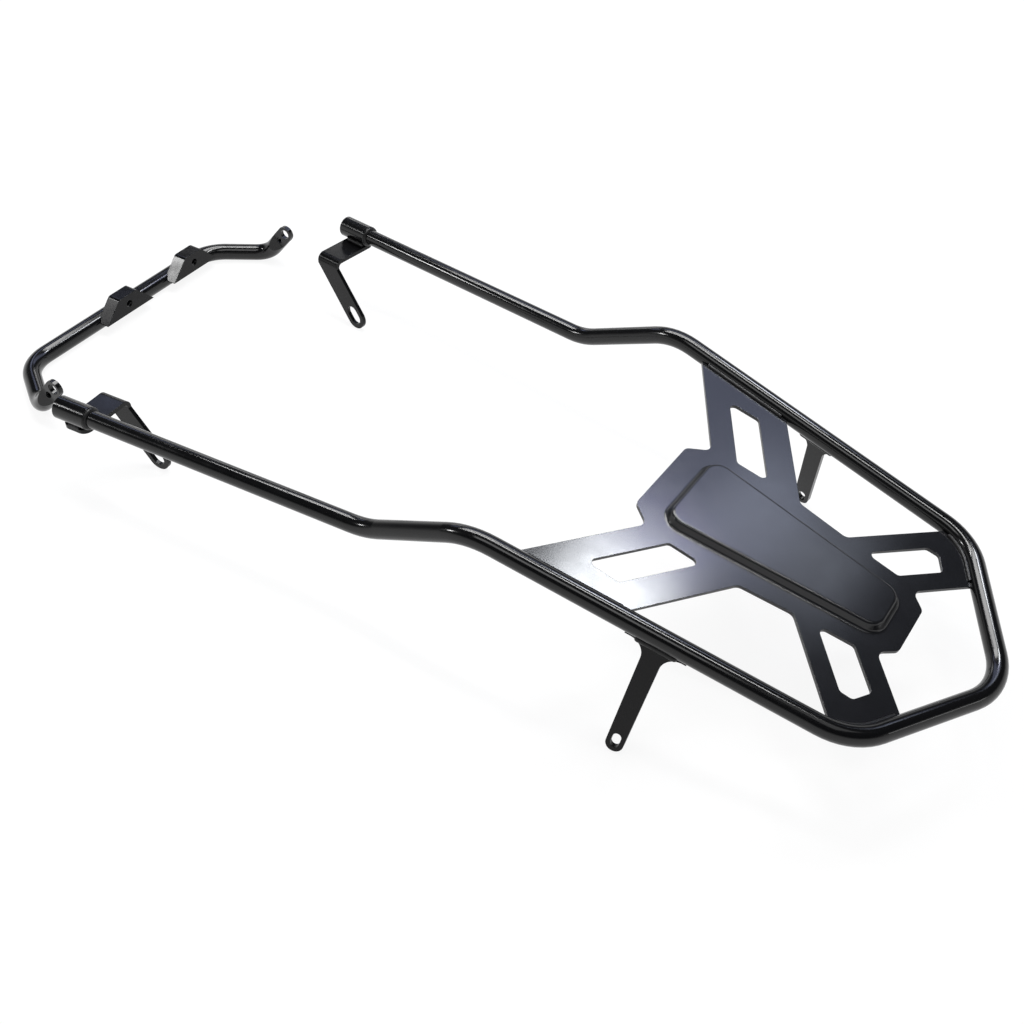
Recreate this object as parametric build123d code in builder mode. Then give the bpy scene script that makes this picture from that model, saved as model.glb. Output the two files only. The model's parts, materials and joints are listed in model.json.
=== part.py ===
from build123d import *
import os
from math import atan2, cos, degrees, radians, sin, sqrt, tan

os.makedirs("parts", exist_ok=True)

# A welded luggage rack and its loose front bar, both standing on the floor as they lie.
# X is the rider's left, Y runs to the rear, Z is up, and the set is centred on X and Y.
# Lengths are in millimetres and angles in degrees.

# Rail: one tube, bent to a U seen from above, that steps down ahead of the deck
RAIL_D = 16.0
RAIL_WALL = 1.5
REAR_BEND_R = 52.0
STEP_BEND_R = 64.0
DECK_TILT = 10.7
DECK_Z = 133.4
DECK_HALF_FRONT = 159.2
DECK_HALF_REAR = 123.5
DECK_LENGTH = 307.8
APEX_REACH = 73.3
STEP_RUN = 95.6
STEP_HALF = 164.2
STEP_Z = 87.4
FRONT_RUN = 319.5
FRONT_HALF = 196.1
FRONT_Z = 80.2

# Carrier plate: a stamped sheet whose top face lies on the plane of the rail's axis.
# Y is measured from the front corners of the deck, an inset from its rear corners.
PLATE_T = 3.0
PLATE_CORNER_R = 7.0
HEAD_Y = 78.6
HEAD_HALF = 41.0
WAIST_HALF_FRONT = 56.5
WAIST_HALF_REAR = 49.6
TAIL_INSET = 4.1
TAIL_HALF_FRONT = 39.7
TAIL_HALF_REAR = 24.8
FRONT_ARM_Y = 174.3
FRONT_ARM_TURN = -33.0
FRONT_ARM_W = 71.0
REAR_ARM_INSET = 89.5
REAR_ARM_TURN = 42.0
REAR_ARM_W = 56.5
ARM_OVERLAP = 3.0

# Windows in the arms: how far they stay from the rail and reach past the waist
WINDOW_W = 25.0
WINDOW_R = 4.5
FRONT_WINDOW_OFFSET = 2.0
FRONT_WINDOW_WAIST_GAP = 1.5
FRONT_WINDOW_RAIL_GAP = 40.2
REAR_WINDOW_WAIST_OVERLAP = 2.6
REAR_WINDOW_RAIL_GAP = 33.5
REAR_WINDOW_END_L = 10.5
REAR_WINDOW_SKEW_L = 3.0

# Boss drawn up out of the plate
BOSS_FRONT_MARGIN = 22.7
BOSS_REAR_MARGIN = 17.3
BOSS_HALF_FRONT = 45.3
BOSS_HALF_REAR = 25.3
BOSS_H = 7.0
BOSS_DRAFT = 27.0
BOSS_CORNER_R = 16.0
BOSS_EDGE_R = 3.0

# Legs: flat straps that flare where they meet the rail
LEG_T = 5.0
LEG_W = 16.0
LEG_FOOT_R = 7.2
LEG_STATION = 159.2
LEG_FOOT_OUT_L = 33.0
LEG_FOOT_FORWARD_L = 10.1
LEG_FLARE_R = 13.0
LEG_ROOT_LIP = 1.0
LEG_SLOT_W = 7.0
LEG_SLOT_L = 13.0

# Sleeves over the front ends of the rail
SLEEVE_D = 21.3
SLEEVE_L = 35.0
SLEEVE_FIT = 0.1

# Front straps: a tab under the sleeve, folded down into a slanting arm
STRAP_T = 4.0
STRAP_W = 28.0
STRAP_STATION = 19.0
STRAP_OUTER_W = 8.0
STRAP_INNER_W = 49.0
STRAP_FOLD_R = 4.0
STRAP_TAB_R = 8.0
STRAP_REACH_L = 37.0
STRAP_END_R = 11.9
STRAP_SLOT_W = 14.0
STRAP_SLOT_L = 21.0

# Front bar: a tube lying flat, with its ends turned up and pressed flat
BAR_D = 18.0
BAR_WALL = 1.5
BAR_GAP = 165.9
BAR_SHIFT = -14.5
BAR_YAW = 2.8
BAR_HALF_RUN = 132.4
BAR_HALF_END = 172.0
BAR_DEPTH = 59.9
BAR_BEND_R = 42.4
KNEE_R = 25.6
TONGUE_RISE = 50.0
TONGUE_L = 52.0
TONGUE_T = 5.0
FLAT_START = 16.0
FLAT_RAMP = 14.0
END_HOLE_D = 11.0
VENT_D = 6.6
VENT_STATION = 31.0

# Saddles: folded caps that stand on the rear of the bar
SADDLE_T = 3.0
SADDLE_H = 24.0
SADDLE_BASE_H = 2.5
SADDLE_FRONT_GAP = 5.0
SADDLE_DEPTH = 15.0
SADDLE_TOP_HALF = 12.5
SADDLE_FLANK = 45.0
SADDLE_FOLD_R = 4.5
SADDLE_HOLE_D = 8.0
SADDLE_FIT = 0.3
MIDDLE_SADDLE_X = 8.0
RIGHT_SADDLE_BEND_GAP = 17.1

# Weld beads
PLATE_WELD_R = 2.2
PLATE_WELD_INSET = 5.0
LEG_WELD_R = 3.0
STRAP_WELD_R = 2.5
SLEEVE_WELD_R = 2.4


def other_side(point):
    return Vector(-point.X, point.Y, point.Z)


# Places that follow from the dimensions
rail_r = RAIL_D / 2
bar_r = BAR_D / 2
sleeve_r = SLEEVE_D / 2
tilt = radians(DECK_TILT)
yaw = radians(BAR_YAW)

# The deck starts where it does so that the apex of the rail and the front of the bar
# are equally far from Y = 0
apex_half_turn = atan2(APEX_REACH, DECK_HALF_REAR)
apex_cut = REAR_BEND_R * (1 / cos(apex_half_turn) - 1)
deck_to_rear = (DECK_LENGTH + APEX_REACH - apex_cut) * cos(tilt) + rail_r
bar_turn = atan2(BAR_DEPTH, BAR_HALF_END - BAR_HALF_RUN)
bar_straight = BAR_HALF_RUN - BAR_BEND_R * tan(bar_turn / 2)
bar_forward = bar_straight * sin(yaw) + BAR_BEND_R * (1 - cos(yaw)) + bar_r
deck_to_front = STEP_RUN + FRONT_RUN + BAR_GAP + bar_forward
deck_y = (deck_to_front - deck_to_rear) / 2

deck = Plane(origin=(0, deck_y, DECK_Z), x_dir=(1, 0, 0), z_dir=(0, sin(tilt), cos(tilt)))
rail_end = Vector(FRONT_HALF, deck_y - STEP_RUN - FRONT_RUN, FRONT_Z)
rail_step = Vector(STEP_HALF, deck_y - STEP_RUN, STEP_Z)
deck_front = deck.from_local_coords(Vector(DECK_HALF_FRONT, 0, 0))
deck_rear = deck.from_local_coords(Vector(DECK_HALF_REAR, DECK_LENGTH, 0))
rail_apex = deck.from_local_coords(Vector(0, DECK_LENGTH + APEX_REACH, 0))
left_half = [rail_end, rail_step, deck_front, deck_rear]
rail_route = left_half + [rail_apex] + [other_side(point) for point in reversed(left_half)]
half_bends = [STEP_BEND_R, STEP_BEND_R, REAR_BEND_R]
rail_bends = half_bends + [REAR_BEND_R] + list(reversed(half_bends))
front_way = (rail_step - rail_end).normalized()
side_way = (deck_rear - deck_front).normalized()
rail_start = Plane(origin=rail_end, z_dir=front_way)
rear_arm_y = DECK_LENGTH - REAR_ARM_INSET
tail_y = DECK_LENGTH - TAIL_INSET
boss_y = HEAD_Y + BOSS_FRONT_MARGIN
boss_end = tail_y - BOSS_REAR_MARGIN

# Rail tube, and the same run filled, to trim what is welded to it
with BuildPart() as rail_tube:
    with BuildLine():
        FilletPolyline(*rail_route, radius=rail_bends)
    with BuildSketch(rail_start):
        Circle(rail_r)
        Circle(rail_r - RAIL_WALL, mode=Mode.SUBTRACT)
    sweep()
rail_tube.part.label = "rail_tube"
export_step(rail_tube.part, "parts/rail_tube.step")

with BuildPart() as rail_filled:
    with BuildLine():
        FilletPolyline(*rail_route, radius=rail_bends)
    with BuildSketch(rail_start):
        Circle(rail_r)
    sweep()

with BuildPart() as side_filled:
    with BuildSketch(Plane(origin=deck_front, z_dir=side_way)):
        Circle(rail_r)
    extrude(amount=(deck_rear - deck_front).length)


# Carrier plate
def arm_point(arm_y, arm_turn, x, offset):
    """A point of the deck at x, offset square to the middle line of an arm."""
    return (x, arm_y + x * tan(radians(arm_turn)) + offset / cos(radians(arm_turn)))


def draw_boss():
    front = (BOSS_HALF_FRONT, boss_y)
    rear = (BOSS_HALF_REAR, boss_end)
    Polygon(front, rear, (-rear[0], rear[1]), (-front[0], front[1]), align=None)
    fillet(vertices(), radius=BOSS_CORNER_R)


arm_length = DECK_LENGTH
front_near = -FRONT_WINDOW_OFFSET - WINDOW_W / 2
front_far = WINDOW_W / 2 - FRONT_WINDOW_OFFSET
front_window_in = WAIST_HALF_FRONT + FRONT_WINDOW_WAIST_GAP
front_window_out = DECK_HALF_FRONT - FRONT_WINDOW_RAIL_GAP
rear_window_in = WAIST_HALF_REAR - REAR_WINDOW_WAIST_OVERLAP
rear_window_out = DECK_HALF_REAR - REAR_WINDOW_RAIL_GAP
rear_end_slope = APEX_REACH / DECK_HALF_REAR
boss_sheet_inset = PLATE_T / cos(radians(BOSS_DRAFT)) - PLATE_T * tan(radians(BOSS_DRAFT))

with BuildPart() as carrier_plate:
    with BuildSketch(deck):
        # Head, waist and tail, with the two left arms; the right side is their mirror image
        front_edge = FRONT_ARM_W / 2 - ARM_OVERLAP
        rear_edge = REAR_ARM_W / 2 - ARM_OVERLAP
        Polygon(
            (0, HEAD_Y),
            (HEAD_HALF, HEAD_Y),
            arm_point(FRONT_ARM_Y, FRONT_ARM_TURN, WAIST_HALF_FRONT, -front_edge),
            arm_point(FRONT_ARM_Y, FRONT_ARM_TURN, WAIST_HALF_FRONT, front_edge),
            arm_point(rear_arm_y, REAR_ARM_TURN, WAIST_HALF_REAR, -rear_edge),
            arm_point(rear_arm_y, REAR_ARM_TURN, TAIL_HALF_FRONT, rear_edge),
            (TAIL_HALF_REAR, tail_y),
            (0, tail_y),
            align=None,
        )
        with Locations((0, FRONT_ARM_Y)):
            Rectangle(arm_length, FRONT_ARM_W, FRONT_ARM_TURN, align=(Align.MIN, Align.CENTER))
        with Locations((0, rear_arm_y)):
            Rectangle(arm_length, REAR_ARM_W, REAR_ARM_TURN, align=(Align.MIN, Align.CENTER))
        mirror(about=Plane.YZ)
        corners = [v for v in vertices() if abs(v.X) < WAIST_HALF_FRONT * 1.5]
        fillet(corners, radius=PLATE_CORNER_R)
        # The arms end at the rail
        with BuildLine():
            deck_bends = FilletPolyline(
                (DECK_HALF_FRONT, 0),
                (DECK_HALF_REAR, DECK_LENGTH),
                (0, DECK_LENGTH + APEX_REACH),
                (-DECK_HALF_REAR, DECK_LENGTH),
                (-DECK_HALF_FRONT, 0),
                radius=REAR_BEND_R,
            )
            Line(deck_bends @ 1, deck_bends @ 0)
        make_face(mode=Mode.INTERSECT)
    extrude(amount=-PLATE_T)
    with BuildSketch(deck):
        draw_boss()
    extrude(amount=BOSS_H, taper=BOSS_DRAFT)
    boss_edges = edges(Select.LAST).group_by(Axis(deck.origin, deck.z_dir))
    fillet(boss_edges[-1] + boss_edges[0], radius=BOSS_EDGE_R)
    # The hollow under the boss keeps the sheet's thickness
    with BuildSketch(deck.offset(-PLATE_T)):
        draw_boss()
        offset(amount=-boss_sheet_inset, mode=Mode.REPLACE)
    extrude(amount=BOSS_H, taper=BOSS_DRAFT, mode=Mode.SUBTRACT)
    with BuildSketch(deck):
        Polygon(
            arm_point(FRONT_ARM_Y, FRONT_ARM_TURN, front_window_in, front_near),
            arm_point(FRONT_ARM_Y, FRONT_ARM_TURN, front_window_out, front_near),
            arm_point(FRONT_ARM_Y, FRONT_ARM_TURN, front_window_out, front_far),
            arm_point(FRONT_ARM_Y, FRONT_ARM_TURN, front_window_in, front_far),
            align=None,
        )
        # The outer end of a rear window runs along the two lengths of rail that meet there
        rear_low = arm_point(rear_arm_y, REAR_ARM_TURN, rear_window_out, -WINDOW_W / 2)
        rear_tip = (rear_low[0], rear_low[1] + REAR_WINDOW_END_L)
        rear_reach = arm_point(rear_arm_y, REAR_ARM_TURN, 0, WINDOW_W / 2)[1]
        rear_high_x = (rear_tip[1] + rear_tip[0] * rear_end_slope - rear_reach) / (
            tan(radians(REAR_ARM_TURN)) + rear_end_slope
        )
        Polygon(
            arm_point(rear_arm_y, REAR_ARM_TURN, rear_window_in, -WINDOW_W / 2),
            rear_low,
            rear_tip,
            arm_point(rear_arm_y, REAR_ARM_TURN, rear_high_x, WINDOW_W / 2),
            arm_point(rear_arm_y, REAR_ARM_TURN, rear_window_in - REAR_WINDOW_SKEW_L, WINDOW_W / 2),
            align=None,
        )
        fillet(vertices(), radius=WINDOW_R)
        mirror(about=Plane.YZ)
    extrude(amount=PLATE_T, both=True, mode=Mode.SUBTRACT)
    add(rail_filled.part, mode=Mode.SUBTRACT)
carrier_plate.part.label = "carrier_plate"
export_step(carrier_plate.part, "parts/carrier_plate.step")

# Welds between the plate's arms and the rail: a bead in the corner of tube and plate,
# kept within each arm
with BuildPart() as plate_bead:
    with BuildLine():
        FilletPolyline(*rail_route[2:7], radius=REAR_BEND_R)
    with BuildSketch(Plane(origin=deck_front, x_dir=deck.z_dir.cross(side_way), z_dir=side_way)):
        with Locations((rail_r, 0)):
            Circle(PLATE_WELD_R)
        with Locations((rail_r, 0)):
            Rectangle(2 * RAIL_D, RAIL_D, align=(Align.CENTER, Align.MAX), mode=Mode.SUBTRACT)
        Circle(rail_r, mode=Mode.SUBTRACT)
    sweep()

with BuildPart() as left_front_plate_weld:
    add(plate_bead.part)
    with BuildSketch(deck):
        with Locations((0, FRONT_ARM_Y)):
            Rectangle(
                arm_length,
                FRONT_ARM_W - 2 * PLATE_WELD_INSET,
                FRONT_ARM_TURN,
                align=(Align.MIN, Align.CENTER),
            )
    extrude(amount=PLATE_WELD_R * 2, mode=Mode.INTERSECT)
left_front_plate_weld.part.label = "left_front_plate_weld"
export_step(left_front_plate_weld.part, "parts/left_front_plate_weld.step")

with BuildPart() as right_front_plate_weld:
    mirror(left_front_plate_weld.part, about=Plane.YZ)
right_front_plate_weld.part.label = "right_front_plate_weld"
export_step(right_front_plate_weld.part, "parts/right_front_plate_weld.step")

with BuildPart() as left_rear_plate_weld:
    add(plate_bead.part)
    with BuildSketch(deck):
        with Locations((0, rear_arm_y)):
            Rectangle(
                arm_length,
                REAR_ARM_W - 2 * PLATE_WELD_INSET,
                REAR_ARM_TURN,
                align=(Align.MIN, Align.CENTER),
            )
    extrude(amount=PLATE_WELD_R * 2, mode=Mode.INTERSECT)
left_rear_plate_weld.part.label = "left_rear_plate_weld"
export_step(left_rear_plate_weld.part, "parts/left_rear_plate_weld.step")

with BuildPart() as right_rear_plate_weld:
    mirror(left_rear_plate_weld.part, about=Plane.YZ)
right_rear_plate_weld.part.label = "right_rear_plate_weld"
export_step(right_rear_plate_weld.part, "parts/right_rear_plate_weld.step")

# Legs: the strap lies in the plane of the rail's side and its own slope, and its foot
# is as long as it takes to touch the floor
leg_x = DECK_HALF_FRONT + (DECK_HALF_REAR - DECK_HALF_FRONT) * LEG_STATION / DECK_LENGTH
leg_root = deck.from_local_coords(Vector(leg_x, LEG_STATION, 0))
leg_way = Vector(LEG_FOOT_OUT_L, -LEG_FOOT_FORWARD_L, -leg_root.Z).normalized()
leg_out = leg_way.cross(side_way).normalized()
leg_across = leg_out.cross(leg_way)
leg_plane = Plane(origin=leg_root, x_dir=leg_across, z_dir=leg_out)
leg_drop = LEG_FOOT_R * sqrt(leg_across.Z**2 + leg_way.Z**2) + LEG_T / 2 * abs(leg_out.Z)
leg_length = (leg_root.Z - leg_drop) / -leg_way.Z
leg_root_depth = rail_r + LEG_ROOT_LIP
leg_root_turn = degrees(atan2(side_way.dot(leg_plane.y_dir), side_way.dot(leg_plane.x_dir)))
leg_root_l = LEG_W + 2.6 * LEG_FLARE_R

with BuildPart() as left_leg:
    with BuildSketch(leg_plane):
        with Locations((0, -leg_root_depth / 2)):
            Rectangle(LEG_W, leg_root_depth / 4)
        with Locations((0, -leg_length)):
            Circle(LEG_FOOT_R)
        make_hull()
        Rectangle(leg_root_l, leg_root_depth, leg_root_turn, align=(Align.CENTER, Align.MAX))
        fillet(vertices().sort_by_distance((0, -leg_root_depth, 0))[:2], radius=LEG_FLARE_R)
        with Locations((0, -leg_length + (LEG_SLOT_L - LEG_SLOT_W) / 2)):
            SlotOverall(LEG_SLOT_L, LEG_SLOT_W, 90, mode=Mode.SUBTRACT)
    extrude(amount=LEG_T / 2, both=True)
    add(side_filled.part, mode=Mode.SUBTRACT)
left_leg.part.label = "left_leg"
export_step(left_leg.part, "parts/left_leg.step")

with BuildPart() as right_leg:
    mirror(left_leg.part, about=Plane.YZ)
right_leg.part.label = "right_leg"
export_step(right_leg.part, "parts/right_leg.step")

# Leg welds: a bead on each face of the strap, along the rail
leg_weld_y = -sqrt(rail_r**2 - (LEG_T / 2) ** 2)
leg_weld_l = LEG_W + LEG_FLARE_R

with BuildPart() as left_leg_weld:
    for face in (-1, 1):
        bead_middle = leg_plane.from_local_coords(Vector(0, leg_weld_y, face * LEG_T / 2))
        with BuildSketch(Plane(origin=bead_middle, z_dir=side_way)):
            Circle(LEG_WELD_R)
        extrude(amount=leg_weld_l / 2, both=True)
        with Locations(bead_middle - side_way * leg_weld_l / 2, bead_middle + side_way * leg_weld_l / 2):
            Sphere(LEG_WELD_R)
    add(side_filled.part, mode=Mode.SUBTRACT)
    add(left_leg.part, mode=Mode.SUBTRACT)
left_leg_weld.part.label = "left_leg_weld"
export_step(left_leg_weld.part, "parts/left_leg_weld.step")

with BuildPart() as right_leg_weld:
    mirror(left_leg_weld.part, about=Plane.YZ)
right_leg_weld.part.label = "right_leg_weld"
export_step(right_leg_weld.part, "parts/right_leg_weld.step")

# Sleeves
with BuildPart() as left_sleeve:
    with BuildSketch(rail_start):
        Circle(sleeve_r)
        Circle(rail_r + SLEEVE_FIT, mode=Mode.SUBTRACT)
    extrude(amount=SLEEVE_L)
    sleeve_rims = edges().filter_by(GeomType.CIRCLE).sort_by(SortBy.RADIUS)[-2:]
    chamfer(sleeve_rims, length=(sleeve_r - rail_r) / 4)
left_sleeve.part.label = "left_sleeve"
export_step(left_sleeve.part, "parts/left_sleeve.step")

with BuildPart() as right_sleeve:
    mirror(left_sleeve.part, about=Plane.YZ)
right_sleeve.part.label = "right_sleeve"
export_step(right_sleeve.part, "parts/right_sleeve.step")

# Sleeve welds: a ring at the rear end of each sleeve
with BuildPart() as left_sleeve_weld:
    with BuildSketch(Plane(origin=rail_end, x_dir=rail_start.x_dir, z_dir=-rail_start.y_dir)):
        with Locations((rail_r, SLEEVE_L)):
            Circle(SLEEVE_WELD_R)
        with Locations((rail_r, SLEEVE_L)):
            Rectangle(
                4 * SLEEVE_WELD_R,
                2 * SLEEVE_WELD_R,
                align=(Align.CENTER, Align.MAX),
                mode=Mode.SUBTRACT,
            )
        with Locations((0, SLEEVE_L)):
            Rectangle(rail_r, 2 * SLEEVE_WELD_R, align=(Align.MIN, Align.MIN), mode=Mode.SUBTRACT)
    revolve(axis=Axis(rail_end, front_way))
left_sleeve_weld.part.label = "left_sleeve_weld"
export_step(left_sleeve_weld.part, "parts/left_sleeve_weld.step")

with BuildPart() as right_sleeve_weld:
    mirror(left_sleeve_weld.part, about=Plane.YZ)
right_sleeve_weld.part.label = "right_sleeve_weld"
export_step(right_sleeve_weld.part, "parts/right_sleeve_weld.step")

# Front straps: x outboard, y rearward along the rail, z up from the rail's axis
strap_out = front_way.cross(Vector(0, 0, 1)).normalized()
strap_up = strap_out.cross(front_way)
strap_middle = rail_end + front_way * STRAP_STATION
strap_section = Plane(origin=strap_middle, x_dir=strap_out, z_dir=-front_way)
strap_arm = Plane(origin=strap_middle - strap_out * STRAP_INNER_W, x_dir=front_way, z_dir=strap_out)
strap_top = -sleeve_r
strap_fold_end = strap_top - STRAP_T - 1.25 * STRAP_FOLD_R
strap_end_z = (STRAP_END_R - strap_middle.Z - STRAP_REACH_L * front_way.Z) / strap_up.Z
strap_slope = degrees(atan2(strap_end_z - strap_fold_end, STRAP_REACH_L))
slot_rise = (STRAP_SLOT_L - STRAP_SLOT_W) / 2
slot_y = STRAP_REACH_L - slot_rise * cos(radians(strap_slope))
slot_z = strap_end_z - slot_rise * sin(radians(strap_slope))

with BuildPart() as left_front_strap:
    with BuildSketch(strap_section):
        Polygon(
            (STRAP_OUTER_W, strap_top),
            (-STRAP_INNER_W, strap_top),
            (-STRAP_INNER_W, strap_fold_end),
            (STRAP_T - STRAP_INNER_W, strap_fold_end),
            (STRAP_T - STRAP_INNER_W, strap_top - STRAP_T),
            (STRAP_OUTER_W, strap_top - STRAP_T),
            align=None,
        )
        fold_outside = vertices().sort_by_distance((-STRAP_INNER_W, strap_top, 0))[0]
        fillet(fold_outside, radius=STRAP_FOLD_R + STRAP_T)
        fold_inside = vertices().sort_by_distance((STRAP_T - STRAP_INNER_W, strap_top - STRAP_T, 0))[0]
        fillet(fold_inside, radius=STRAP_FOLD_R)
    extrude(amount=STRAP_W / 2, both=True)
    tab_corners = edges().filter_by(Axis(strap_middle, strap_up)).sort_by(Axis(strap_middle, strap_out))[-2:]
    fillet(tab_corners, radius=STRAP_TAB_R)
    with BuildSketch(strap_arm):
        with Locations((0, strap_fold_end)):
            Rectangle(STRAP_W, STRAP_FOLD_R / 4, align=(Align.CENTER, Align.MAX))
        with Locations((STRAP_REACH_L, strap_end_z)):
            Circle(STRAP_END_R)
        make_hull()
        with Locations((slot_y, slot_z)):
            SlotOverall(STRAP_SLOT_L, STRAP_SLOT_W, strap_slope, mode=Mode.SUBTRACT)
    extrude(amount=STRAP_T)
left_front_strap.part.label = "left_front_strap"
export_step(left_front_strap.part, "parts/left_front_strap.step")

with BuildPart() as right_front_strap:
    mirror(left_front_strap.part, about=Plane.YZ)
right_front_strap.part.label = "right_front_strap"
export_step(right_front_strap.part, "parts/right_front_strap.step")

# Strap welds: a bead on each side of the sleeve, in the wedge above the tab
strap_bead_in_l = STRAP_W - 2 * STRAP_WELD_R
strap_bead_out_l = STRAP_W - 2 * STRAP_TAB_R

with BuildPart() as left_strap_weld:
    for side, bead_l in ((-1, strap_bead_in_l), (1, strap_bead_out_l)):
        with BuildSketch(strap_section):
            with Locations((side * (STRAP_OUTER_W - STRAP_WELD_R), strap_top)):
                Circle(STRAP_WELD_R)
            with Locations((0, strap_top)):
                Rectangle(2 * STRAP_OUTER_W, STRAP_T, align=(Align.CENTER, Align.MAX), mode=Mode.SUBTRACT)
            Circle(sleeve_r, mode=Mode.SUBTRACT)
        extrude(amount=bead_l / 2, both=True)
left_strap_weld.part.label = "left_strap_weld"
export_step(left_strap_weld.part, "parts/left_strap_weld.step")

with BuildPart() as right_strap_weld:
    mirror(left_strap_weld.part, about=Plane.YZ)
right_strap_weld.part.label = "right_strap_weld"
export_step(right_strap_weld.part, "parts/right_strap_weld.step")

# Front bar: u along its run, v rearward, w up from its axis
bar_plane = Plane(
    origin=(BAR_SHIFT, rail_end.Y - BAR_GAP, bar_r), x_dir=(cos(yaw), sin(yaw), 0), z_dir=(0, 0, 1)
)
rise = radians(TONGUE_RISE)
tongue_way = bar_plane.y_dir * cos(rise) + bar_plane.z_dir * sin(rise)
left_knee = bar_plane.from_local_coords(Vector(BAR_HALF_END, BAR_DEPTH, 0))
right_knee = bar_plane.from_local_coords(Vector(-BAR_HALF_END, BAR_DEPTH, 0))
left_turn = bar_plane.from_local_coords(Vector(BAR_HALF_RUN, 0, 0))
right_turn = bar_plane.from_local_coords(Vector(-BAR_HALF_RUN, 0, 0))
bar_bends = [KNEE_R, BAR_BEND_R, BAR_BEND_R, KNEE_R]
tip_r = 0.96 * bar_r
tongue_end = TONGUE_L - tip_r


def bar_points(station):
    """Corners of the bar's run, up to a place along the turned-up ends."""
    first = left_knee + tongue_way * station
    last = right_knee + tongue_way * station
    return [first, left_knee, left_turn, right_turn, right_knee, last]


with BuildPart() as bar_filled:
    with BuildLine():
        FilletPolyline(*bar_points(tongue_end), radius=bar_bends)
    with BuildSketch(Plane(origin=bar_points(tongue_end)[0], z_dir=-tongue_way)):
        Circle(bar_r)
    sweep()

# The bar's straight run and its right bend with a little room round them, to trim the saddles
bend_start = bar_plane.from_local_coords(Vector(-bar_straight, 0, 0))
bend_centre = bar_plane.from_local_coords(Vector(-bar_straight, BAR_BEND_R, 0))
run_overlap = 1.0

with BuildPart() as run_room:
    with BuildSketch(Plane(origin=bend_start - bar_plane.x_dir * run_overlap, z_dir=bar_plane.x_dir)):
        Circle(bar_r + SADDLE_FIT)
    extrude(amount=2 * bar_straight)

with BuildPart() as bend_room:
    with BuildSketch(Plane(origin=bend_start, z_dir=bar_plane.x_dir)):
        Circle(bar_r + SADDLE_FIT)
    revolve(axis=Axis(bend_centre, -bar_plane.z_dir), revolution_arc=degrees(bar_turn))

# The bore of the tube closes to a cone where the end is pressed flat
bore_r = bar_r - BAR_WALL
bore_close = FLAT_RAMP
bore_taper = degrees(atan2(bore_r * 0.85, bore_close))

with BuildPart() as bar_bore:
    with BuildLine():
        FilletPolyline(*bar_points(FLAT_START), radius=bar_bends)
    with BuildSketch(Plane(origin=bar_points(FLAT_START)[0], z_dir=-tongue_way)):
        Circle(bore_r)
    sweep()
    for knee in (left_knee, right_knee):
        with BuildSketch(Plane(origin=knee + tongue_way * FLAT_START, z_dir=tongue_way)):
            Circle(bore_r)
        extrude(amount=bore_close, taper=bore_taper)

with BuildPart() as front_bar:
    add(bar_filled.part)
    for knee in (left_knee, right_knee):
        # Flats on both sides of the end, a round tip, and the holes through it
        with BuildSketch(Plane(origin=knee, x_dir=bar_plane.x_dir, z_dir=bar_plane.x_dir.cross(tongue_way))):
            Polygon(
                (bar_r, FLAT_START),
                (TONGUE_T / 2, FLAT_START + FLAT_RAMP),
                (TONGUE_T / 2, TONGUE_L),
                (2 * bar_r, TONGUE_L),
                (2 * bar_r, FLAT_START),
                align=None,
            )
            ramp_end = vertices().sort_by_distance((TONGUE_T / 2, FLAT_START + FLAT_RAMP, 0))[0]
            fillet(ramp_end, radius=FLAT_RAMP)
            mirror(about=Plane.YZ)
        extrude(amount=2 * bar_r, both=True, mode=Mode.SUBTRACT)
        tip = knee + tongue_way * tongue_end
        with BuildSketch(Plane(origin=tip, x_dir=tongue_way, z_dir=bar_plane.x_dir)):
            Circle(tip_r)
        extrude(amount=TONGUE_T / 2, both=True)
        with BuildSketch(Plane(origin=tip, x_dir=tongue_way, z_dir=bar_plane.x_dir)):
            Circle(END_HOLE_D / 2)
            with Locations((VENT_STATION - tongue_end, 0)):
                Circle(VENT_D / 2)
        extrude(amount=bar_r, both=True, mode=Mode.SUBTRACT)
    add(bar_bore.part, mode=Mode.SUBTRACT)
front_bar.part.label = "front_bar"
export_step(front_bar.part, "parts/front_bar.step")

# Saddles
saddle_rear = SADDLE_FRONT_GAP + SADDLE_DEPTH
right_saddle_x = RIGHT_SADDLE_BEND_GAP - bar_straight
flank = tan(radians(SADDLE_FLANK))


def saddle_plane(along, back):
    middle = bar_plane.from_local_coords(Vector(along, back, 0))
    return Plane(origin=middle, x_dir=bar_plane.x_dir, z_dir=-bar_plane.y_dir)


def draw_saddle(inset, base):
    """The cap's shape seen from the rear, down to a base height, at a depth into its sheet."""
    top = SADDLE_H - inset
    top_half = SADDLE_TOP_HALF + flank * inset - inset * sqrt(1 + flank**2)
    base_half = top_half + flank * (top - base)
    Polygon((base_half, base), (top_half, top), (-top_half, top), (-base_half, base), align=None)
    fillet(vertices().group_by(Axis.Y)[-1], radius=SADDLE_FOLD_R - inset)


with BuildPart() as middle_saddle:
    with BuildSketch(saddle_plane(MIDDLE_SADDLE_X, saddle_rear)):
        draw_saddle(0, SADDLE_BASE_H)
    extrude(amount=SADDLE_DEPTH)
    with BuildSketch(saddle_plane(MIDDLE_SADDLE_X, saddle_rear - SADDLE_T)):
        draw_saddle(SADDLE_T, 0)
    extrude(amount=SADDLE_DEPTH, mode=Mode.SUBTRACT)
    with BuildSketch(saddle_plane(MIDDLE_SADDLE_X, saddle_rear)):
        with Locations((0, (SADDLE_H + SADDLE_BASE_H) / 2)):
            Circle(SADDLE_HOLE_D / 2)
    extrude(amount=SADDLE_T, mode=Mode.SUBTRACT)
    add(run_room.part, mode=Mode.SUBTRACT)
middle_saddle.part.label = "middle_saddle"
export_step(middle_saddle.part, "parts/middle_saddle.step")

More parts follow.
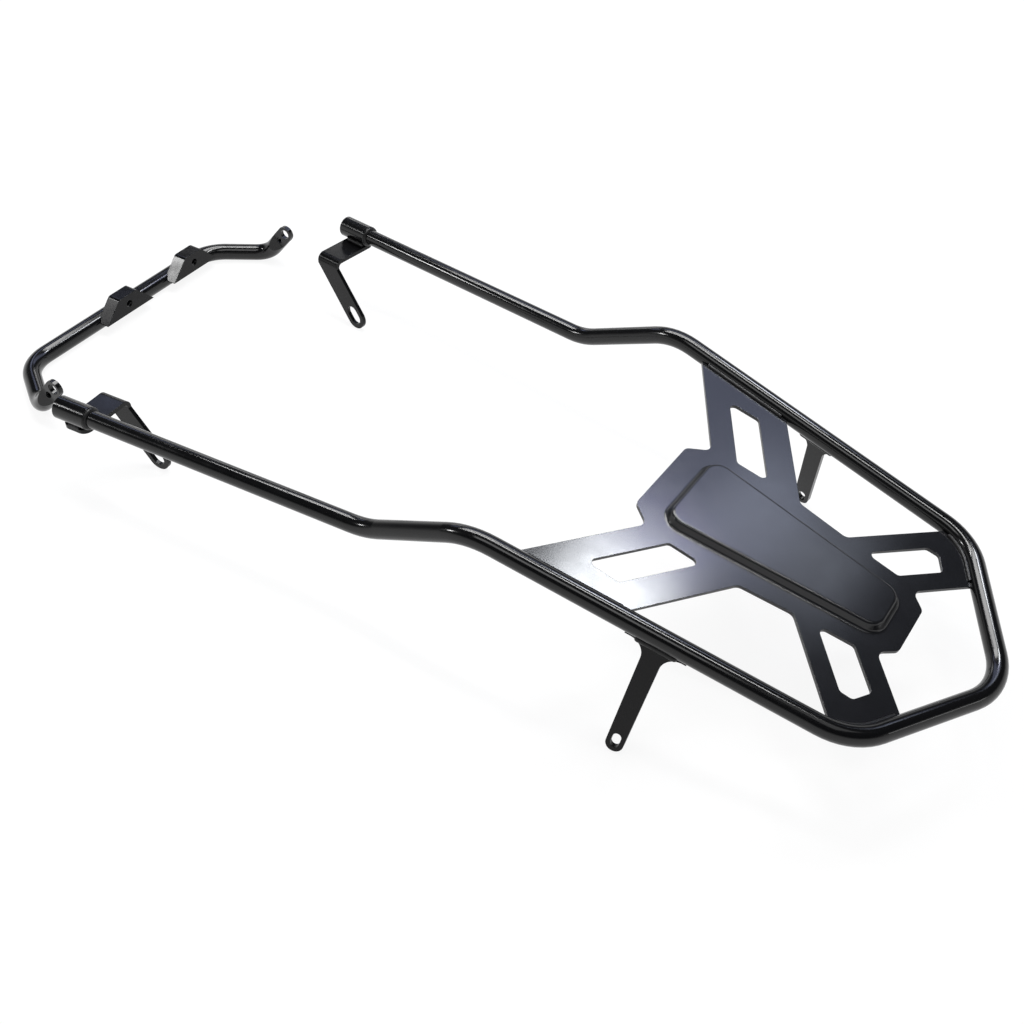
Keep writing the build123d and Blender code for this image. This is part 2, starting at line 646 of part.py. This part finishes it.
with BuildPart() as right_saddle:
    with BuildSketch(saddle_plane(right_saddle_x, saddle_rear)):
        draw_saddle(0, SADDLE_BASE_H)
    extrude(amount=SADDLE_DEPTH)
    with BuildSketch(saddle_plane(right_saddle_x, saddle_rear - SADDLE_T)):
        draw_saddle(SADDLE_T, 0)
    extrude(amount=SADDLE_DEPTH, mode=Mode.SUBTRACT)
    with BuildSketch(saddle_plane(right_saddle_x, saddle_rear)):
        with Locations((0, (SADDLE_H + SADDLE_BASE_H) / 2)):
            Circle(SADDLE_HOLE_D / 2)
    extrude(amount=SADDLE_T, mode=Mode.SUBTRACT)
    add(run_room.part, mode=Mode.SUBTRACT)
    add(bend_room.part, mode=Mode.SUBTRACT)
right_saddle.part.label = "right_saddle"
export_step(right_saddle.part, "parts/right_saddle.step")
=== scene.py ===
import json
from math import pi

import bpy
from mathutils import Matrix, Vector

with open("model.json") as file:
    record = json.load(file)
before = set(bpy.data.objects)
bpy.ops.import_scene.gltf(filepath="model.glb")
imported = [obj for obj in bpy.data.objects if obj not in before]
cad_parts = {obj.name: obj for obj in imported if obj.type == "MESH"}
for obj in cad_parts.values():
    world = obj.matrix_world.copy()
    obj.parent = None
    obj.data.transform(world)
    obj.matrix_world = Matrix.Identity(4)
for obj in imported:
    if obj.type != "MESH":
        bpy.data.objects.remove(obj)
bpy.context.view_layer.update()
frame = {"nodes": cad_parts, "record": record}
scene = bpy.context.scene
scene.view_settings.view_transform = "Standard"

# The camera stands beside the rear end of the rack, on its left, and looks down across it
CAMERA_AT = Vector((0.690107, 0.482059, 0.762044))
CAMERA_RIGHT = Vector((-0.560084, 0.827675, 0.035496))
CAMERA_FORWARD = Vector((-0.618250, -0.389079, -0.682924))
CAMERA_LENS = 42.913
CAMERA_SENSOR = 36.0

# Paint colours
BLACK = (0.0018, 0.0018, 0.0021)
SOFT_BLACK = (0.003, 0.003, 0.0034)
SATIN_DARK = (0.0055, 0.0057, 0.007)
SATIN_LIGHT = (0.0075, 0.0078, 0.0092)
WORN = (0.02, 0.02, 0.022)
PAINT_IOR = 1.5

# Noises in the paint: cells per metre, and levels of finer detail
CLOUD_SCALE = 11.0
CLOUD_DETAIL = 3.0
WEAR_SCALE = 45.0
WEAR_DETAIL = 3.0
GLOSS_SCALE = 60.0
GLOSS_DETAIL = 4.0
SKIN_SCALE = 900.0
SKIN_DETAIL = 2.0
# Nearly all values of a noise lie between these two
NOISE_LOW = 0.3
NOISE_HIGH = 0.7
# The wave on the welds, how far a noise bends it, and the detail of that noise
RIPPLE_SCALE = 95.0
RIPPLE_BEND = 3.0
RIPPLE_DETAIL = 2.0
# Depths of the two reliefs in metres
SKIN_DEPTH = 0.0002
RIPPLE_DEPTH = 0.0004

# Where the softened normal turns from the face: below the first cosine all edge, above the second all face
EDGE_COSINE = 0.8
FACE_COSINE = 0.97
EDGE_SAMPLES = 4

# The floor lies just below the object, and is an even white with a share of its own shading
FLOOR_HALF = 6.0
FLOOR_DROP = 0.0002
FLOOR_PALE = (0.9, 0.9, 0.9)
FLOOR_WHITE = 1.0
FLOOR_EVEN_SHARE = 0.9

# The room's light round the horizon and overhead, and the sines of the angles between which it fades
HORIZON = (0.92, 0.92, 0.92)
OVERHEAD = (0.054, 0.057, 0.06)
FADE_FROM = 0.12
FADE_TO = 0.42

# Light colours, the height of the soft boxes, and how far the patch hangs below the sheet that it overlaps
WHITE = (1.0, 1.0, 1.0)
NEAR_WHITE = (0.93, 0.96, 1.0)
PALE_BLUE = (0.76, 0.83, 1.0)
BLUISH = (0.62, 0.69, 1.0)
VIOLET = (0.55, 0.57, 1.0)
BOX_HEIGHT = 1.7
PATCH_DROP = 0.01


def new_node(tree, kind, **values):
    """A shader node with its settings and unlinked inputs given by name."""
    node = tree.nodes.new(kind)
    for name, value in values.items():
        if hasattr(node, name):
            setattr(node, name, value)
        else:
            node.inputs[name.replace("_", " ")].default_value = value
    return node


def calculate(tree, operation, first, second):
    """The result of a math node on two outputs, or on an output and a plain number."""
    node = new_node(tree, "ShaderNodeMath", operation=operation)
    tree.links.new(first, node.inputs[0])
    if isinstance(second, float):
        node.inputs[1].default_value = second
    else:
        tree.links.new(second, node.inputs[1])
    return node.outputs["Value"]


def stretch(tree, source, start, end, low=0.0, high=1.0, curve="LINEAR"):
    """A value that runs from low to high while its source runs from start to end, and stays there beyond."""
    node = new_node(
        tree, "ShaderNodeMapRange", From_Min=start, From_Max=end, To_Min=low, To_Max=high,
        interpolation_type=curve,
    )
    tree.links.new(source, node.inputs["Value"])
    return node.outputs["Result"]


def noise(tree, coords, scale, detail):
    """A noise over a piece's own coordinates."""
    node = new_node(tree, "ShaderNodeTexNoise", Scale=scale, Detail=detail)
    tree.links.new(coords.outputs["Object"], node.inputs["Vector"])
    return node.outputs["Fac"]


def patches(tree, coords, scale, detail, low=0.0, high=1.0):
    """A noise that uses the whole range from low to high."""
    return stretch(tree, noise(tree, coords, scale, detail), NOISE_LOW, NOISE_HIGH, low, high)


def blend(tree, factor, first, second):
    """A colour that runs from first to second; first may be another node's colour."""
    node = tree.nodes.new("ShaderNodeMix")
    node.data_type = "RGBA"
    tree.links.new(factor, node.inputs["Factor"])
    if isinstance(first, tuple):
        node.inputs["A"].default_value = (*first, 1.0)
    else:
        tree.links.new(first, node.inputs["A"])
    node.inputs["B"].default_value = (*second, 1.0)
    return node.outputs["Result"]


def relief(tree, height, soft_normal, strength, depth):
    """The softened normal with a bump on it."""
    bump = new_node(tree, "ShaderNodeBump", Strength=strength, Distance=depth)
    tree.links.new(height, bump.inputs["Height"])
    tree.links.new(soft_normal, bump.inputs["Normal"])
    return bump.outputs["Normal"]


def fine_skin(tree, coords, soft_normal, strength):
    """The faint orange peel of sprayed paint."""
    height = noise(tree, coords, SKIN_SCALE, SKIN_DETAIL)
    return relief(tree, height, soft_normal, strength, SKIN_DEPTH)


def weld_ripples(tree, coords, soft_normal, strength):
    """The ripples that a weld pool leaves along its bead."""
    wave = new_node(
        tree, "ShaderNodeTexWave", bands_direction="DIAGONAL",
        Scale=RIPPLE_SCALE, Distortion=RIPPLE_BEND, Detail=RIPPLE_DETAIL,
    )
    tree.links.new(coords.outputs["Object"], wave.inputs["Vector"])
    return relief(tree, wave.outputs["Fac"], soft_normal, strength, RIPPLE_DEPTH)


def paint(name, dark, light, shine, smooth, dull, surface, strength, edge):
    """Black paint on steel: cloudy colour, uneven gloss, a relief, and thin paint on softened edges."""
    material = bpy.data.materials.new(name)
    material.use_nodes = True
    tree = material.node_tree
    shader = tree.nodes["Principled BSDF"]
    shader.inputs["Metallic"].default_value = 0.0
    shader.inputs["IOR"].default_value = PAINT_IOR
    shader.inputs["Specular IOR Level"].default_value = shine
    coords = tree.nodes.new("ShaderNodeTexCoord")

    soft_edge = new_node(tree, "ShaderNodeBevel", samples=EDGE_SAMPLES, Radius=edge)
    soft_normal = soft_edge.outputs["Normal"]
    geometry = tree.nodes.new("ShaderNodeNewGeometry")
    turn = new_node(tree, "ShaderNodeVectorMath", operation="DOT_PRODUCT")
    tree.links.new(soft_normal, turn.inputs[0])
    tree.links.new(geometry.outputs["Normal"], turn.inputs[1])
    on_edge = stretch(tree, turn.outputs["Value"], EDGE_COSINE, FACE_COSINE, low=1.0, high=0.0)
    wear = calculate(tree, "MULTIPLY", on_edge, patches(tree, coords, WEAR_SCALE, WEAR_DETAIL))

    clouds = patches(tree, coords, CLOUD_SCALE, CLOUD_DETAIL)
    colour = blend(tree, wear, blend(tree, clouds, dark, light), WORN)
    tree.links.new(colour, shader.inputs["Base Color"])

    gloss = patches(tree, coords, GLOSS_SCALE, GLOSS_DETAIL, low=smooth, high=dull)
    tree.links.new(gloss, shader.inputs["Roughness"])

    normal = surface(tree, coords, soft_normal, strength)
    tree.links.new(normal, shader.inputs["Normal"])
    return material


# One paint for each material slot of the record. Shine is the specular level, smooth to dull the roughness,
# strength how much of the relief shows, and edge the radius of the softened edges in metres
looks = {
    "tube_paint": dict(
        dark=BLACK, light=SOFT_BLACK, shine=0.42, smooth=0.11, dull=0.17,
        surface=fine_skin, strength=0.02, edge=0.0004,
    ),
    "plate_paint": dict(
        dark=SATIN_DARK, light=SATIN_LIGHT, shine=0.5, smooth=0.145, dull=0.175,
        surface=fine_skin, strength=0.003, edge=0.0005,
    ),
    "strap_paint": dict(
        dark=BLACK, light=SOFT_BLACK, shine=0.2, smooth=0.17, dull=0.24,
        surface=fine_skin, strength=0.03, edge=0.0006,
    ),
    "weld_paint": dict(
        dark=BLACK, light=SOFT_BLACK, shine=0.3, smooth=0.3, dull=0.45,
        surface=weld_ripples, strength=0.25, edge=0.0004,
    ),
}
slot_paint = {slot: paint(slot, **look) for slot, look in looks.items()}
for row in frame["record"]["subparts"]:
    piece = frame["nodes"][row["node"]]
    piece.data.materials.clear()
    piece.data.materials.append(slot_paint[row["material_slot"]])


def lay_floor():
    """A pale sheet that the camera, gloss and glass see as an even white with a faint shadow."""
    mesh = bpy.data.meshes.new("floor")
    corners = [(-1, -1), (1, -1), (1, 1), (-1, 1)]
    points = [(FLOOR_HALF * x, FLOOR_HALF * y, -FLOOR_DROP) for x, y in corners]
    mesh.from_pydata(points, [], [(0, 1, 2, 3)])
    floor = bpy.data.objects.new("floor", mesh)
    scene.collection.objects.link(floor)

    material = bpy.data.materials.new("floor_paint")
    material.use_nodes = True
    tree = material.node_tree
    tree.nodes.clear()
    ray = tree.nodes.new("ShaderNodeLightPath")
    seen = ray.outputs["Is Camera Ray"]
    for kind in ("Is Glossy Ray", "Is Transmission Ray"):
        seen = calculate(tree, "MAXIMUM", seen, ray.outputs[kind])
    pale = new_node(tree, "ShaderNodeBsdfDiffuse", Color=(*FLOOR_PALE, 1.0))
    even = new_node(tree, "ShaderNodeEmission", Strength=FLOOR_WHITE)
    sheet = tree.nodes.new("ShaderNodeMixShader")
    tree.links.new(calculate(tree, "MULTIPLY", seen, FLOOR_EVEN_SHARE), sheet.inputs["Fac"])
    tree.links.new(pale.outputs["BSDF"], sheet.inputs[1])
    tree.links.new(even.outputs["Emission"], sheet.inputs[2])
    result = tree.nodes.new("ShaderNodeOutputMaterial")
    tree.links.new(sheet.outputs["Shader"], result.inputs["Surface"])
    mesh.materials.append(material)


def make_room():
    """A world that is nearly white round the horizon and dim overhead, the same for every ray."""
    world = bpy.data.worlds.new("studio")
    scene.world = world
    world.use_nodes = True
    tree = world.node_tree
    tree.nodes.clear()
    coords = tree.nodes.new("ShaderNodeTexCoord")
    direction = tree.nodes.new("ShaderNodeSeparateXYZ")
    tree.links.new(coords.outputs["Generated"], direction.inputs["Vector"])
    fade = stretch(tree, direction.outputs["Z"], FADE_FROM, FADE_TO, curve="SMOOTHSTEP")
    sky = new_node(tree, "ShaderNodeBackground", Strength=1.0)
    tree.links.new(blend(tree, fade, HORIZON, OVERHEAD), sky.inputs["Color"])
    result = tree.nodes.new("ShaderNodeOutputWorld")
    tree.links.new(sky.outputs["Background"], result.inputs["Surface"])


def soft_box(name, x, y, width, length, radiance, colour=WHITE, height=BOX_HEIGHT):
    """A level light of even brightness, facing down: width along X and length along Y."""
    data = bpy.data.lights.new(name, "AREA")
    data.shape = "RECTANGLE"
    data.size = width
    data.size_y = length
    data.color = colour
    data.energy = radiance * width * length * pi
    light = bpy.data.objects.new(name, data)
    light.location = (x, y, height)
    scene.collection.objects.link(light)


def place_camera():
    """The camera at its place, turned by its right and forward directions."""
    back = -CAMERA_FORWARD.normalized()
    up = back.cross(CAMERA_RIGHT).normalized()
    side = up.cross(back)
    turn = Matrix((side, up, back)).transposed()
    data = bpy.data.cameras.new("camera")
    data.sensor_width = CAMERA_SENSOR
    data.lens = CAMERA_LENS
    camera = bpy.data.objects.new("camera", data)
    camera.matrix_world = Matrix.Translation(CAMERA_AT) @ turn.to_4x4()
    scene.collection.objects.link(camera)
    scene.camera = camera


lay_floor()
make_room()

# A window with a violet edge that the near front arm of the plate mirrors, and a broad bluish sheet
# with a brighter patch below its edge for the rest of the plate
soft_box("window", x=-1.135, y=0.2, width=0.26, length=0.27, radiance=38.0, colour=NEAR_WHITE)
soft_box("window_edge", x=-1.36, y=0.2, width=0.18, length=0.3, radiance=7.0, colour=VIOLET)
soft_box("sheet", x=-1.75, y=-0.63, width=0.85, length=2.2, radiance=1.7, colour=BLUISH)
soft_box(
    "patch", x=-1.66, y=0.46, width=0.36, length=0.42, radiance=3.0, colour=PALE_BLUE,
    height=BOX_HEIGHT - PATCH_DROP,
)
# A strip and a wider panel that draw the lines along the tubes
soft_box("strip", x=-0.25, y=-0.3, width=0.12, length=2.1, radiance=32.0)
soft_box("panel", x=-0.7, y=-0.62, width=0.45, length=1.35, radiance=11.0)
# A bluish sheet for the near strap, and a box for the sloping ends of the saddles
soft_box("strap_sheet", x=-1.16, y=-2.24, width=0.6, length=0.6, radiance=2.2, colour=BLUISH)
soft_box("saddle_box", x=1.44, y=-2.17, width=0.36, length=0.36, radiance=62.0)
# Fills for the views from other sides
soft_box("side_fill", x=1.2, y=0.1, width=0.8, length=1.6, radiance=3.0, height=2.2)
soft_box("front_fill", x=-2.0, y=-2.1, width=0.9, length=0.9, radiance=3.0, height=1.1)
soft_box("rear_fill", x=-0.8, y=3.4, width=0.9, length=0.9, radiance=3.0, height=1.1)
soft_box("top_fill", x=0.0, y=1.15, width=1.2, length=0.6, radiance=1.0, height=1.9)

place_camera()
